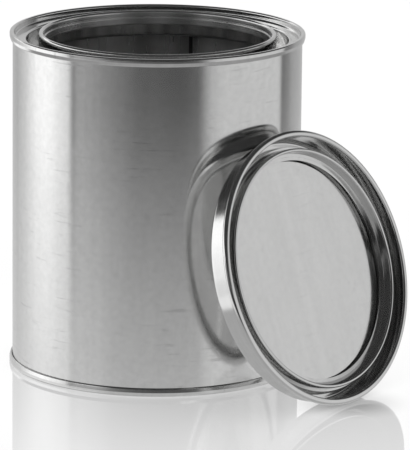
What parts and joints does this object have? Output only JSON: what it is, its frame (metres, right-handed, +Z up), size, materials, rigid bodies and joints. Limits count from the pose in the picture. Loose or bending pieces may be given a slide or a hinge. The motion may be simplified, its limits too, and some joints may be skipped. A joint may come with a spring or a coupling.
{
  "type": "paint can",
  "caption": "Cylindrical tinplate paint can with double-seamed ends, a grooved friction ring round its mouth and a matching recessed plug lid that leans against the wall.",
  "frame": {"origin": "on the floor, under the middle of the footprint of the can and its leaning lid", "axes": "+Z up along the can; the can stands towards -X and +Y, and the lid leans on it from +X and -Y; the picture looks along +Y"},
  "size_m": [0.1462, 0.1434, 0.1238],
  "materials": {
    "wall_plate": "bright tinplate",
    "bottom_plate": "bright tinplate",
    "ring_plate": "bright tinplate",
    "lid_plate": "bright tinplate",
    "seam_compound": "matt sealing compound"
  },
  "bodies": {
    "can": {"body_wall": "wall_plate", "bottom_end": "bottom_plate", "top_ring": "ring_plate", "bottom_seam_compound": "seam_compound", "top_seam_compound": "seam_compound"},
    "lid": {"plug_lid": "lid_plate"}
  },
  "joints": [
    {"name": "lid_lift_off", "type": "slide", "parent": "can", "child": "lid", "axis": [0.3798, -0.3252, 0.866], "range_m": [0, 0.15]}
  ]
}
